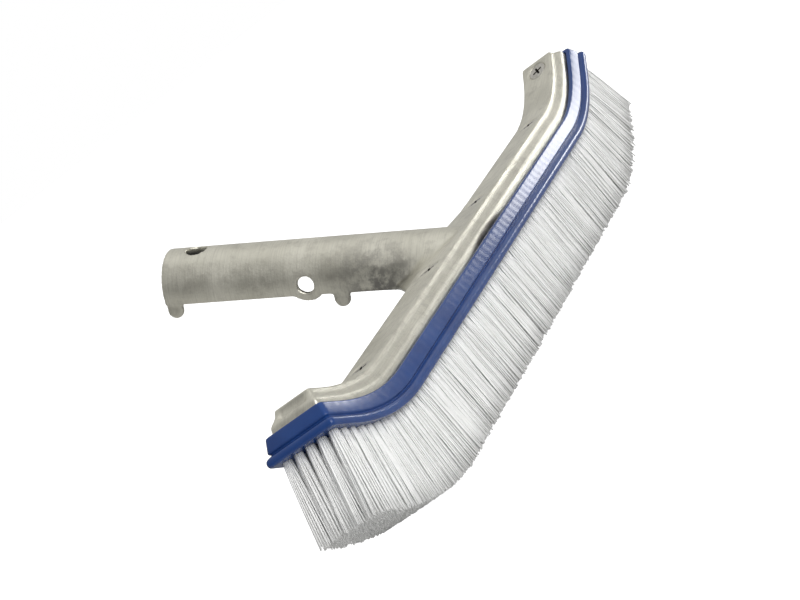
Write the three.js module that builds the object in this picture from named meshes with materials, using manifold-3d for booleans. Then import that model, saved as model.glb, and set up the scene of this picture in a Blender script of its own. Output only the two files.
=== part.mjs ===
// A pool wall brush of the 18 inch class. A cast aluminium back and handle are one piece, a moulded
// plastic block is screwed under the back, and five rows of bristle tufts stand in the block.
// Millimetres. X runs along the head, the handle leans towards -Y, and Z is up. The origin is the
// middle of the flat stretch of bristle tips.

import * as THREE from "three";
import { mergeVertices } from "three/addons/utils/BufferGeometryUtils.js";
import Module from "manifold-3d";

const wasm = await Module();
wasm.setup();

// ---------------------------------------------------------------- driving dimensions

const { degToRad } = THREE.MathUtils;
const FIT_GAP = 0.3; // clearance between pieces that touch

// The head is straight in the middle and bends up at both ends.
const STRAIGHT_HALF = 146.5;
const BEND_RADIUS = 140; // of the block's underside
const BEND_ANGLE = degToRad(25.3);
const BEND_STEPS = 8;

// Bristles
const BRISTLE_LENGTH = 36;
const TUFT_PITCH = 6.2;
const TUFT_COUNT = 72; // in each row
const TUFT_ROOT_HALF = 1.9;
const TUFT_MERGE_DEPTH = 14; // below this the tufts of a row touch each other
const ROW_PITCH = 5.77;
const ROW_COUNT = 5;
const ROW_HALF_THICKNESS = 2.6;
const GROUPS_IN_ROW = 9;

// Block: heights are measured from its underside, square to the brushing line
const BEAD_HALF_WIDTH = 16.9;
const BEAD_HALF_LENGTH = 226.8;
const GROOVE_DEPTH = 2.2;
const LIP_HALF_WIDTH = 14;
const LIP_HALF_LENGTH = 224;
const LIP_HEIGHT = 11.1;
const SEAT_HEIGHT = 9.6; // floor of the recess that takes the casting's rim
const SEAT_HALF_WIDTH = 12.3;
const SEAT_HALF_LENGTH = 222.3;
const BLOCK_CORNER = 1.6;

// Cast back
const BACK_BASE = SEAT_HEIGHT + FIT_GAP;
const BACK_TOP = 19.8;
const BACK_TOP_HALF_WIDTH = 9;
const BACK_TOP_HALF_LENGTH = 217.2;
const RIM_HALF_WIDTH = 11.9;
const RIM_HALF_LENGTH = 221.4;
const RIM_HEIGHT = 13.9;
const SHOULDER_HEIGHT = 16.9;
const WALL = 2.8;
const BACK_CORNER = 1.4;
const PANEL_DEPTH = 0.8; // of the panel sunk in each end face
const PANEL_BORDER = 2.2;

// Handle: a tube, open underneath, that fits inside a 1 1/4 inch (31.75 mm) telescopic pole
const HANDLE_RADIUS = 15.5;
const BORE_RADIUS = HANDLE_RADIUS - WALL;
const HANDLE_LEAN = degToRad(60); // from the head's normal, towards -Y
const HANDLE_FOOT_Y = 8.45; // where the handle's axis meets the block's underside
const MOUTH = 149; // distance of the open end from that point, along the axis
const CUT_ANGLE = degToRad(-20); // the tube's lower edges, measured from its widest line
const FLOOR_END = 62; // the tube is solid nearer the head than this
const ARC_STEPS = 12; // from the tube's top line to one lower edge
const SEAM_STEP = 0.05; // walls that join end a little inside each other, so no two faces coincide
const ROOT_ANGLE = CUT_ANGLE + degToRad(4); // ears and bosses start here, inside the tube's wall

// Holes and ears, measured from the mouth
const TOP_HOLE_RADIUS = 4.85;
const TOP_HOLE_FROM_MOUTH = 13.8;
const CLIP_HOLE_RADIUS = 3.85;
const CLIP_HOLE_FROM_MOUTH = 66.7;
const CLIP_BOSS_RADIUS = 8.2;
const EAR_DEPTH = 6.2; // below the tube's lower edge
const EAR_HALF_WIDTH = 3.7;
const EAR_THICKNESS = 2.5;
const EARS_FROM_MOUTH = [4.1, 81.9];

// Screws
const SCREW_STATIONS = [-209.5, -146, -41, 41, 146, 209.5];
const SCREW_HEAD_RADIUS = 4.8;
const SCREW_HEAD_HEIGHT = 2.9;
const SCREW_SHANK_RADIUS = 2.3;
const SCREW_LENGTH = 16;
const SCREW_SINK = 0.5; // head below the casting's top face
const RECESS_RADIUS = 5.35;
const BOSS_RADIUS = 5;
const BOSS_DRAFT = 0.4;
const CROSS = { topRadius: 3.1, footRadius: 1.2, height: 4, narrowing: 0.3 }; // the driver's slots

// ---------------------------------------------------------------- materials

function finish(color, roughness, metalness) {
  return new THREE.MeshStandardMaterial({ color, roughness, metalness });
}

const castAluminium = finish(0xc8c6b8, 0.42, 0.9);
const bluePlastic = finish(0x3e5c96, 0.22, 0);
const screwSteel = finish(0xa9a79f, 0.35, 0.95);
const nylon = finish(0xe3e3df, 0.5, 0);

// ---------------------------------------------------------------- geometry helpers

// The slope of the brushing line at arc length s.
function slopeAt(s) {
  const intoBend = (Math.abs(s) - STRAIGHT_HALF) / BEND_RADIUS;
  return Math.sign(s) * THREE.MathUtils.clamp(intoBend, 0, BEND_ANGLE);
}

// A point at arc length s along the brushing line, y across it, and h square to it.
function bentPoint(s, y, h) {
  const slope = Math.abs(slopeAt(s));
  const inner = Math.min(Math.abs(s), STRAIGHT_HALF);
  const outer = Math.max(0, Math.abs(s) - STRAIGHT_HALF - BEND_RADIUS * BEND_ANGLE);
  const x = inner + (BEND_RADIUS - h) * Math.sin(slope) + outer * Math.cos(slope);
  const z = BEND_RADIUS - (BEND_RADIUS - h) * Math.cos(slope) + outer * Math.sin(slope);
  return new THREE.Vector3(Math.sign(s) * x, y, z);
}

// Puts an object or geometry, made around Z, at a point of the brushing line and square to it.
function bentFrame(s, h) {
  const turn = new THREE.Matrix4().makeRotationY(-slopeAt(s));
  return turn.setPosition(bentPoint(s, 0, h));
}

// A closed skin over rings of points. Rings run counter-clockwise as seen from the last one, and a
// cap is a list of triangles that face the same way.
function loft(rings, firstCap, lastCap = firstCap) {
  const size = rings[0].length;
  const last = (rings.length - 1) * size;
  const index = [];
  for (let start = 0; start < last; start += size) {
    for (let i = 0; i < size; i++) {
      const a = start + i;
      const b = start + ((i + 1) % size);
      index.push(a, b, b + size, a, b + size, a + size);
    }
  }
  for (const [a, b, c] of firstCap) index.push(c, b, a);
  for (const corners of lastCap) index.push(...corners.map((corner) => last + corner));
  return new THREE.BufferGeometry().setFromPoints(rings.flat()).setIndex(index);
}

const QUAD_CAP = [[0, 1, 2], [0, 2, 3]];

// A bar that follows the brushing line: a stack of rectangles with cut corners.
function bentBar(layers, corner) {
  const bend = Array.from({ length: BEND_STEPS + 1 }, (_, i) => {
    return STRAIGHT_HALF + (BEND_RADIUS * BEND_ANGLE * i) / BEND_STEPS;
  });
  const stations = [...bend.map((s) => -s).reverse(), ...bend];
  const rings = layers.map(({ h, halfWidth, halfLength }) => {
    const side = [-halfLength + corner, ...stations, halfLength - corner].map((s) => [s, halfWidth]);
    side.unshift([-halfLength, halfWidth - corner]);
    side.push([halfLength, halfWidth - corner]);
    const right = side.map(([s, w]) => bentPoint(s, -w, h));
    const left = side.map(([s, w]) => bentPoint(s, w, h));
    return [...right, ...left.reverse()];
  });
  const size = rings[0].length;
  const strips = Array.from({ length: size / 2 - 1 }, (_, i) => [
    [i, i + 1, size - 2 - i],
    [i, size - 2 - i, size - 1 - i],
  ]);
  return loft(rings, strips.flat());
}

function extrude(shape, depth, curveSegments = 8) {
  return new THREE.ExtrudeGeometry(shape, { depth, curveSegments, bevelEnabled: false });
}

function solidOf(geometry) {
  const bare = geometry.clone().deleteAttribute("normal").deleteAttribute("uv");
  const merged = mergeVertices(bare, 1e-3);
  const vertProperties = merged.attributes.position.array;
  const triVerts = new Uint32Array(merged.index.array);
  return new wasm.Manifold(new wasm.Mesh({ numProp: 3, vertProperties, triVerts }));
}

function geometryOf(solid) {
  const { vertProperties, triVerts } = solid.getMesh();
  const geometry = new THREE.BufferGeometry();
  geometry.setAttribute("position", new THREE.BufferAttribute(vertProperties, 3));
  geometry.setIndex(new THREE.BufferAttribute(triVerts, 1));
  geometry.computeVertexNormals();
  return geometry;
}

// A cone or cylinder around Z, from z = low to z = high.
function round(lowRadius, highRadius, low, high, sides = 16) {
  const geometry = new THREE.CylinderGeometry(highRadius, lowRadius, high - low, sides);
  return geometry.rotateX(Math.PI / 2).translate(0, 0, (low + high) / 2);
}

// ---------------------------------------------------------------- brush block

// A rounded bead at the foot, a groove above it, and a tall face that leans in to the lip. The
// recess in the top takes the rim of the casting.
function blockBody() {
  const groove = { halfWidth: BEAD_HALF_WIDTH - GROOVE_DEPTH, halfLength: BEAD_HALF_LENGTH - GROOVE_DEPTH };
  const bead = (h, inset) => {
    return { h, halfWidth: BEAD_HALF_WIDTH - inset, halfLength: BEAD_HALF_LENGTH - inset };
  };
  return bentBar(
    [
      bead(0, 1.1),
      bead(0.5, 0.3),
      bead(1.6, 0),
      bead(2.8, 0.5),
      bead(3.5, 1.3),
      { h: 4.3, ...groove },
      { h: 5.3, halfWidth: groove.halfWidth + 0.7, halfLength: groove.halfLength + 0.7 },
      { h: LIP_HEIGHT - 0.6, halfWidth: LIP_HALF_WIDTH, halfLength: LIP_HALF_LENGTH },
      { h: LIP_HEIGHT, halfWidth: LIP_HALF_WIDTH - 0.5, halfLength: LIP_HALF_LENGTH - 0.5 },
      { h: LIP_HEIGHT, halfWidth: SEAT_HALF_WIDTH, halfLength: SEAT_HALF_LENGTH },
      { h: SEAT_HEIGHT, halfWidth: SEAT_HALF_WIDTH, halfLength: SEAT_HALF_LENGTH },
    ],
    BLOCK_CORNER,
  );
}

// A blind hole for each screw's thread.
function brushBlock() {
  const depth = BACK_TOP - SCREW_SINK - SCREW_LENGTH - 2 * FIT_GAP;
  const radius = SCREW_SHANK_RADIUS + FIT_GAP;
  let block = solidOf(blockBody());
  for (const s of SCREW_STATIONS) {
    const hole = round(radius, radius, depth, LIP_HEIGHT, 12).applyMatrix4(bentFrame(s, 0));
    block = block.subtract(solidOf(hole));
  }
  return geometryOf(block);
}

// ---------------------------------------------------------------- cast back

function backShell() {
  const rim = { halfWidth: RIM_HALF_WIDTH, halfLength: RIM_HALF_LENGTH };
  const top = { halfWidth: BACK_TOP_HALF_WIDTH, halfLength: BACK_TOP_HALF_LENGTH };
  const grown = (size, by) => {
    return { halfWidth: size.halfWidth + by, halfLength: size.halfLength + by };
  };
  const outside = bentBar(
    [
      { h: BACK_BASE, ...rim },
      { h: RIM_HEIGHT, ...grown(rim, -0.2) },
      { h: RIM_HEIGHT + 0.9, ...grown(rim, -0.7) },
      { h: SHOULDER_HEIGHT, ...grown(top, 0.5) },
      { h: SHOULDER_HEIGHT + 0.5, ...grown(top, 0.3) },
      { h: BACK_TOP - 0.5, ...grown(top, 0.1) },
      { h: BACK_TOP, ...grown(top, -0.3) },
    ],
    BACK_CORNER,
  );
  const hollow = bentBar(
    [
      { h: BACK_BASE - 1, ...grown(rim, -WALL) },
      { h: RIM_HEIGHT, ...grown(rim, -WALL - 0.4) },
      { h: BACK_TOP - WALL, ...grown(top, -WALL) },
    ],
    BACK_CORNER,
  );
  return { outside: solidOf(outside), hollow: solidOf(hollow) };
}

// The boss inside the hollow, and the stepped hole cut through it for one screw.
function screwSeat(s) {
  const frame = bentFrame(s, 0);
  const at = (geometry) => solidOf(geometry.applyMatrix4(frame));
  const headTop = BACK_TOP - SCREW_SINK;
  const headFoot = headTop - SCREW_HEAD_HEIGHT;
  const clearance = SCREW_SHANK_RADIUS + FIT_GAP;
  const coneRadius = SCREW_HEAD_RADIUS + FIT_GAP;
  const boss = at(round(BOSS_RADIUS, BOSS_RADIUS + BOSS_DRAFT, BACK_BASE, BACK_TOP - WALL / 2));
  const cone = at(round(clearance, coneRadius, headFoot - FIT_GAP, headTop));
  const recess = at(round(RECESS_RADIUS, RECESS_RADIUS, headTop - 0.02, BACK_TOP + 1, 20));
  const shankHole = at(round(clearance, clearance, BACK_BASE - 1, headFoot, 12));
  return { boss, hole: cone.add(recess).add(shankHole) };
}

// A shallow panel sunk in each end face of the back.
function endPanel(side) {
  const middle = (RIM_HEIGHT + BACK_TOP) / 2;
  const width = 2 * (BACK_TOP_HALF_WIDTH - PANEL_BORDER);
  const height = BACK_TOP - RIM_HEIGHT - 2 * PANEL_DEPTH;
  const panel = new THREE.BoxGeometry(2 * PANEL_DEPTH, width, height);
  const faceSlope = Math.atan2(RIM_HALF_LENGTH - BACK_TOP_HALF_LENGTH, BACK_TOP - BACK_BASE);
  panel.rotateY(-side * faceSlope);
  return solidOf(panel.applyMatrix4(bentFrame(side * (BACK_TOP_HALF_LENGTH + 1.2), middle)));
}

// ---------------------------------------------------------------- handle

// Made around Z with Y as the tube's top line, then leaned back on the head.
const handleFrame = new THREE.Matrix4().makeRotationX(HANDLE_LEAN).setPosition(0, HANDLE_FOOT_Y, 0);

function handleSolid(geometry) {
  return solidOf(geometry.applyMatrix4(handleFrame));
}

function tubeShell() {
  const section = new THREE.Shape();
  section.absarc(0, 0, HANDLE_RADIUS, CUT_ANGLE, Math.PI - CUT_ANGLE, false);
  section.absarc(0, 0, BORE_RADIUS, Math.PI - CUT_ANGLE, CUT_ANGLE, true);
  const start = FLOOR_END - 1;
  return handleSolid(extrude(section, MOUTH - start, ARC_STEPS).translate(0, 0, start));
}

// A flat tongue with a round tip, straight down from the tube's lower edge on one side (1 or -1).
function ear(fromMouth, side) {
  const middle = MOUTH - fromMouth;
  const root = HANDLE_RADIUS * Math.sin(ROOT_ANGLE);
  const tipCentre = HANDLE_RADIUS * Math.sin(CUT_ANGLE) - EAR_DEPTH + EAR_HALF_WIDTH;
  const tongue = new THREE.Shape();
  tongue.moveTo(middle + EAR_HALF_WIDTH, root);
  tongue.lineTo(middle - EAR_HALF_WIDTH, root);
  tongue.absarc(middle, tipCentre, EAR_HALF_WIDTH, Math.PI, 2 * Math.PI, false);
  const outer = HANDLE_RADIUS * Math.cos(CUT_ANGLE) - SEAM_STEP;
  const start = side > 0 ? outer : EAR_THICKNESS - outer;
  return handleSolid(extrude(tongue, EAR_THICKNESS).rotateY(-Math.PI / 2).translate(start, 0, 0));
}

// The round swelling under the clip hole: the tube's wall, carried on below its lower edge. Each
// ring of the loft is the wall's section at one angle round the tube.
function clipBoss(side) {
  const middle = MOUTH - CLIP_HOLE_FROM_MOUTH;
  const low = Math.asin(-CLIP_BOSS_RADIUS / HANDLE_RADIUS);
  const rings = [0, 0.3, 0.55, 0.75, 0.9, 0.98].map((part) => {
    const angle = THREE.MathUtils.lerp(ROOT_ANGLE, low, part);
    const reach = Math.sqrt(CLIP_BOSS_RADIUS ** 2 - (HANDLE_RADIUS * Math.sin(angle)) ** 2);
    const point = (radius, along) => {
      return new THREE.Vector3(side * radius * Math.cos(angle), radius * Math.sin(angle), along);
    };
    const ring = [
      point(BORE_RADIUS + SEAM_STEP, middle - reach),
      point(HANDLE_RADIUS - SEAM_STEP, middle - reach),
      point(HANDLE_RADIUS - SEAM_STEP, middle + reach),
      point(BORE_RADIUS + SEAM_STEP, middle + reach),
    ];
    return side > 0 ? ring : ring.reverse();
  });
  return handleSolid(loft(rings, QUAD_CAP));
}

// The round bore, which stops where the tube closes underneath.
function bore() {
  const radius = BORE_RADIUS + SEAM_STEP;
  return handleSolid(round(radius, radius, FLOOR_END, MOUTH, 32));
}

function handleHoles() {
  const top = round(TOP_HOLE_RADIUS, TOP_HOLE_RADIUS, 0, HANDLE_RADIUS + 5, 20);
  top.rotateX(-Math.PI / 2).translate(0, 0, MOUTH - TOP_HOLE_FROM_MOUTH);
  const across = HANDLE_RADIUS + 5;
  const clip = round(CLIP_HOLE_RADIUS, CLIP_HOLE_RADIUS, -across, across, 20);
  clip.rotateY(Math.PI / 2).translate(0, 0, MOUTH - CLIP_HOLE_FROM_MOUTH);
  return handleSolid(top).add(handleSolid(clip));
}

// ---------------------------------------------------------------- neck

// The neck carries the tube into the back. It is a stack of upright sections square to Y: the
// tube's own curve down to the angle flank, then a cove out to the foot of the side web, whose
// outer edge is edge. Both are [x, height] pairs.
const NECK_SECTIONS = [
  { y: 5.5, flank: 80, foot: [8, 18.6], edge: [50, 18.2] },
  { y: 0, flank: 68, foot: [9.6, 19.6], edge: [50, 18.6] },
  { y: -2.8, flank: 62, foot: [13.5, 19.75], edge: [50, 18.8] },
  { y: -5.2, flank: 58, foot: [22, 19.9], edge: [50, 19.2] },
  { y: -8.8, flank: 52, foot: [28, 19.7], edge: [50, 19.2] },
  { y: -10.6, flank: 48, foot: [28, 19.4], edge: [49.5, 18.9] },
  { y: -15, flank: 38, foot: [23.5, 18.9], edge: [41.2, 18.5] },
  { y: -20, flank: 29, foot: [19.5, 18.5], edge: [31.9, 18.1] },
  { y: -25, flank: 23, foot: [16.7, 18.2], edge: [22.6, 17.8] },
];
const TUBE_SECTIONS_Y = [-30, -38.8, -53];
const COVE_STEPS = 4;
const COVE_BEND = 0.35; // where the cove turns, as a part of its width from the tube
const WEB_THICKNESS = 2.2;
const WEB_DRAFT = 0.4;
const UNDERSIDE_HALF_WIDTH = 13.5;
const UNDERSIDE = 11.5; // clears the block's lip
const TUBE_STRETCH = 1 / Math.sin(HANDLE_LEAN); // the tube's height in a section square to Y

function tubePoint(y, angle) {
  const axisHeight = (HANDLE_FOOT_Y - y) / Math.tan(HANDLE_LEAN);
  const radius = HANDLE_RADIUS - SEAM_STEP;
  return new THREE.Vector2(radius * Math.cos(angle), axisHeight + radius * TUBE_STRETCH * Math.sin(angle));
}

// Points from the top line down to the angle flank, in equal steps.
function tubeArc(y, flank, steps) {
  return Array.from({ length: steps + 1 }, (_, i) => {
    return tubePoint(y, THREE.MathUtils.lerp(Math.PI / 2, flank, i / steps));
  });
}

function neckRing(y, rightSide) {
  const corner = new THREE.Vector2(UNDERSIDE_HALF_WIDTH, Math.max(tubePoint(y, CUT_ANGLE).y, UNDERSIDE));
  const half = [...rightSide, corner];
  const right = half.map((p) => new THREE.Vector3(p.x, y, p.y)).reverse();
  const left = half.slice(1).map((p) => new THREE.Vector3(-p.x, y, p.y));
  return [...right, ...left];
}

function webbedRing({ y, flank, foot, edge }) {
  const arc = tubeArc(y, degToRad(flank), ARC_STEPS - COVE_STEPS - 1);
  const start = arc.at(-1);
  const web = new THREE.Vector2(...foot);
  const outer = new THREE.Vector2(...edge);
  const bend = new THREE.Vector2(start.x + COVE_BEND * (web.x - start.x), web.y);
  const cove = new THREE.QuadraticBezierCurve(start, bend, web).getPoints(COVE_STEPS).slice(1);
  const under = new THREE.Vector2(outer.x - WEB_DRAFT, outer.y - WEB_THICKNESS);
  return neckRing(y, [...arc, ...cove, outer, under]);
}

function plainRing(y) {
  return neckRing(y, tubeArc(y, CUT_ANGLE, ARC_STEPS + 1));
}

function neck() {
  const rings = [...NECK_SECTIONS.map(webbedRing), ...TUBE_SECTIONS_Y.map(plainRing)];
  const cap = (ring) => {
    const outline = ring.map((p) => new THREE.Vector2(p.x, p.z));
    return THREE.ShapeUtils.triangulateShape(outline, []);
  };
  const full = solidOf(loft(rings, cap(rings[0]), cap(rings.at(-1))));
  return full.subtract(bore());
}

// ---------------------------------------------------------------- the whole casting

function handleCasting() {
  const { outside, hollow } = backShell();
  const seats = SCREW_STATIONS.map(screwSeat);
  let casting = outside.add(neck()).subtract(hollow).add(tubeShell());
  for (const side of [1, -1]) {
    casting = casting.add(clipBoss(side));
    for (const fromMouth of EARS_FROM_MOUTH) casting = casting.add(ear(fromMouth, side));
    casting = casting.subtract(endPanel(side));
  }
  for (const { boss, hole } of seats) casting = casting.add(boss).subtract(hole);
  return geometryOf(casting.subtract(handleHoles()));
}

// ---------------------------------------------------------------- screws

// A countersunk head with a cross recess, its top face at z = 0, and a plain shank with a point.
function countersunkScrew() {
  const neckDepth = -SCREW_HEAD_HEIGHT;
  const outline = [
    [0, -SCREW_LENGTH],
    [0.5, -SCREW_LENGTH],
    [SCREW_SHANK_RADIUS, -SCREW_LENGTH + 3],
    [SCREW_SHANK_RADIUS, neckDepth],
    [SCREW_HEAD_RADIUS, -0.25],
    [SCREW_HEAD_RADIUS - 0.15, 0],
    [0, 0],
  ].map(([radius, height]) => new THREE.Vector2(radius, height));
  const body = new THREE.LatheGeometry(outline, 16).rotateX(Math.PI / 2);
  const slot = new THREE.CylinderGeometry(CROSS.topRadius, CROSS.footRadius, CROSS.height, 4);
  slot.rotateY(Math.PI / 4).rotateX(Math.PI / 2).scale(1, CROSS.narrowing, 1);
  const crossed = slot.clone().rotateZ(Math.PI / 2);
  return geometryOf(solidOf(body).subtract(solidOf(slot).add(solidOf(crossed))));
}

// ---------------------------------------------------------------- bristles

// A run of neighbouring tufts of one row: separate at the block, merged towards the tips.
function bristleComb(firstTuft, tufts, y) {
  const place = (tuft) => (tuft - (TUFT_COUNT - 1) / 2) * TUFT_PITCH;
  const start = place(firstTuft) - TUFT_PITCH / 2 + FIT_GAP / 2;
  const end = place(firstTuft + tufts - 1) + TUFT_PITCH / 2 - FIT_GAP / 2;
  const outline = [new THREE.Vector2(start, -TUFT_MERGE_DEPTH), new THREE.Vector2(start, -BRISTLE_LENGTH)];
  const bent = Math.max(Math.abs(start), Math.abs(end)) > STRAIGHT_HALF;
  for (let i = 1; bent && i < tufts; i++) {
    outline.push(new THREE.Vector2(place(firstTuft + i) - TUFT_PITCH / 2, -BRISTLE_LENGTH));
  }
  outline.push(new THREE.Vector2(end, -BRISTLE_LENGTH), new THREE.Vector2(end, -TUFT_MERGE_DEPTH));
  for (let i = tufts - 1; i >= 0; i--) {
    const s = place(firstTuft + i);
    outline.push(new THREE.Vector2(s + TUFT_ROOT_HALF, -FIT_GAP));
    outline.push(new THREE.Vector2(s - TUFT_ROOT_HALF, -FIT_GAP));
    if (i > 0) outline.push(new THREE.Vector2(s - TUFT_PITCH / 2, -TUFT_MERGE_DEPTH));
  }
  const comb = extrude(new THREE.Shape(outline), 2 * ROW_HALF_THICKNESS);
  const position = comb.attributes.position;
  for (let i = 0; i < position.count; i++) {
    const across = y + ROW_HALF_THICKNESS - position.getZ(i);
    const point = bentPoint(position.getX(i), across, position.getY(i));
    position.setXYZ(i, ...point);
  }
  comb.computeVertexNormals();
  return comb;
}

// ---------------------------------------------------------------- assembly

const brush = new THREE.Group();
const head = new THREE.Group(); // its Z = 0 is the block's underside
head.position.z = BRISTLE_LENGTH;
brush.add(head);

function addPiece(name, geometry, material) {
  const piece = new THREE.Mesh(geometry, material);
  piece.name = name;
  head.add(piece);
  return piece;
}

addPiece("handle_casting", handleCasting(), castAluminium);
addPiece("brush_block", brushBlock(), bluePlastic);

const screw = countersunkScrew();
SCREW_STATIONS.forEach((s, i) => {
  const piece = addPiece(`screw_${i + 1}`, screw, screwSteel);
  piece.position.copy(bentPoint(s, 0, BACK_TOP - SCREW_SINK));
  piece.rotation.y = -slopeAt(s);
});

for (let row = 0; row < ROW_COUNT; row++) {
  const y = (row - (ROW_COUNT - 1) / 2) * ROW_PITCH;
  const tufts = TUFT_COUNT / GROUPS_IN_ROW;
  for (let group = 0; group < GROUPS_IN_ROW; group++) {
    const comb = bristleComb(group * tufts, tufts, y);
    addPiece(`bristles_row_${row + 1}_group_${group + 1}`, comb, nylon);
  }
}

export default brush;
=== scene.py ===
import math

import bmesh
import bpy
import numpy as np
from mathutils import Matrix, Vector

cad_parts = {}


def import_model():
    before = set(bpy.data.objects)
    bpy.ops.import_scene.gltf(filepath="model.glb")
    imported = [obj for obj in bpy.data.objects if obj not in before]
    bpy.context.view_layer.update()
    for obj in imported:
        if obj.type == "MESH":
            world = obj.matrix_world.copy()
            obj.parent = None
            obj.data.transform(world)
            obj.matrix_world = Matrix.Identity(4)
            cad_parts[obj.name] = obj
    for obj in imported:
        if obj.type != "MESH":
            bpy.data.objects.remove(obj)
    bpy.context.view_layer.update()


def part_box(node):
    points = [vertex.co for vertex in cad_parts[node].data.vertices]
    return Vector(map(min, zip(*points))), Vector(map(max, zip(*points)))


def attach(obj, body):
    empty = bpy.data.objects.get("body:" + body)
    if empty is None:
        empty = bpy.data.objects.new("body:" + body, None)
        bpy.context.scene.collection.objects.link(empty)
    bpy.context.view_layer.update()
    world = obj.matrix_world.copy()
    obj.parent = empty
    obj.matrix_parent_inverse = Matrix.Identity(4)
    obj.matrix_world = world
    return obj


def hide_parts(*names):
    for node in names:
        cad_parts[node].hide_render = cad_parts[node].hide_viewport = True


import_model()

# ------------------------------------------------------------------ sizes, in millimetres

MM = 0.001
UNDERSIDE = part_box("brush_block")[0].z / MM  # of the block's straight middle

# The head is straight in the middle and bends up at both ends.
STRAIGHT_HALF = 146.5
BEND_RADIUS = 140.0
BEND_ANGLE = math.radians(25.3)

TUFT_PITCH = 6.2
TUFT_COUNT = 72
ROW_PITCH = 5.77
ROW_COUNT = 5
GROUPS_IN_ROW = 9
TUFT_HOLE_RADIUS = 1.95
TUFT_HOLE_DEPTH = 7.0

BEAD_HALF_WIDTH = 16.9
BEAD_HALF_LENGTH = 226.8
LIP_HEIGHT = 11.1
SEAT_HEIGHT = 9.6

FIT_GAP = 0.3  # round each screw, and between the block's seat and the back
SEAM = 0.02  # keeps skins that would coincide apart

BACK_BASE = SEAT_HEIGHT + FIT_GAP
BACK_TOP = 19.8
BACK_TOP_HALF_WIDTH = 9.0
BACK_TOP_HALF_LENGTH = 217.2
RIM_HALF_WIDTH = 11.9
RIM_HALF_LENGTH = 221.4
RIM_HEIGHT = 13.9
SHOULDER_HEIGHT = 16.9
WALL = 2.8

HANDLE_RADIUS = 15.5
BORE_RADIUS = HANDLE_RADIUS - WALL
HANDLE_LEAN = math.radians(60)
HANDLE_FOOT_Y = 8.45
MOUTH = 149.0
CUT_ANGLE = math.radians(-20)
MOUTH_ROUND = 0.4
FLOOR_END = 62.0  # the tube is solid nearer the head than this
TOP_HOLE = (4.85, MOUTH - 13.8)  # radius and place along the handle's axis
CLIP_HOLE = (3.85, MOUTH - 66.7)
CLIP_BOSS_RADIUS = 8.2
EAR_DEPTH = 6.2  # below the tube's lower edge
EAR_HALF_WIDTH = 3.7
EAR_THICKNESS = 2.5
EARS = (MOUTH - 4.1, MOUTH - 81.9)

SCREW_STATIONS = (-209.5, -146.0, -41.0, 41.0, 146.0, 209.5)
SCREW_HEAD_RADIUS = 4.8
SCREW_HEAD_HEIGHT = 2.9
SCREW_SHANK_RADIUS = 2.3
SCREW_LENGTH = 16.0
SCREW_SINK = 0.5
RECESS_RADIUS = 5.35

SQUARE = ((-1, -1), (1, -1), (1, 1), (-1, 1))

# ------------------------------------------------------------------ the bent line


def slope_at(s):
    """How steeply the brushing line rises at arc length s, in radians."""
    return np.sign(s) * np.clip((np.abs(s) - STRAIGHT_HALF) / BEND_RADIUS, 0, BEND_ANGLE)


def bent(s, y, h):
    """Points at arc length s along the brushing line, y across it and h square to it."""
    s, y, h = np.broadcast_arrays(np.asarray(s, float), y, h)
    slope = np.abs(slope_at(s))
    inner = np.minimum(np.abs(s), STRAIGHT_HALF)
    outer = np.maximum(0, np.abs(s) - STRAIGHT_HALF - BEND_RADIUS * BEND_ANGLE)
    x = inner + (BEND_RADIUS - h) * np.sin(slope) + outer * np.cos(slope)
    z = BEND_RADIUS - (BEND_RADIUS - h) * np.cos(slope) + outer * np.sin(slope)
    return np.stack([np.sign(s) * x, y, z + UNDERSIDE], axis=-1)


def bent_frame(s, h=0.0):
    """A frame on the middle of the head, with X along the bent line and Z square to it."""
    origin = Vector(bent(s, 0.0, h))
    return Matrix.Translation(origin) @ Matrix.Rotation(-float(slope_at(s)), 4, "Y")


def curve(start, bend, end, t):
    """A point on the quadratic curve from start to end that bend pulls towards itself."""
    return (1 - t) ** 2 * start + 2 * t * (1 - t) * bend + t**2 * end


def soften(points, steps=5):
    """Rounds the corners of an open outline. Each point is (a, b, corner size)."""
    outline = [np.array(points[0][:2], float)]
    for before, (a, b, size), after in zip(points, points[1:], points[2:]):
        corner = np.array([a, b], float)
        back = np.array(before[:2], float) - corner
        ahead = np.array(after[:2], float) - corner
        start = corner + back * min(0.5, size / np.hypot(*back))
        end = corner + ahead * min(0.5, size / np.hypot(*ahead))
        outline += [curve(start, corner, end, t) for t in np.linspace(0, 1, steps)]
    outline.append(np.array(points[-1][:2], float))
    return np.array(outline)


# ------------------------------------------------------------------ mesh helpers


def mesh_object(name, points, faces):
    mesh = bpy.data.meshes.new(name)
    mesh.from_pydata((np.asarray(points) * MM).tolist(), [], faces)
    mesh.update()
    obj = bpy.data.objects.new(name, mesh)
    bpy.context.scene.collection.objects.link(obj)
    return obj


def wall_faces(ring_count, size):
    """The four-sided faces between rings of that many points each."""
    i = np.arange(size)
    rows = np.arange(ring_count - 1)[:, None] * size
    a = rows + i
    b = rows + (i + 1) % size
    return np.stack([a, b, b + size, a + size], axis=-1).reshape(-1, 4).tolist()


def loft(name, rings, cap=None):
    """A closed skin over rings that run counter-clockwise as seen from the last one."""
    rings = np.asarray(rings)
    count, size = rings.shape[:2]
    cap = cap or [list(range(size))]
    faces = wall_faces(count, size)
    faces += [face[::-1] for face in cap]
    faces += [[corner + (count - 1) * size for corner in face] for face in cap]
    return mesh_object(name, rings.reshape(-1, 3), faces)


def strips(size):
    """A cap for a long ring that turns back half way, as a row of four-sided faces."""
    return [[i, i + 1, size - 2 - i, size - 1 - i] for i in range(size // 2 - 1)]


def wedge(name, *ends):
    """A block between two rectangles square to Z. Each end is (z, half size in X, in Y)."""
    rings = [[(x * long, y * wide, z) for x, y in SQUARE] for z, long, wide in ends]
    return loft(name, rings)


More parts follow.
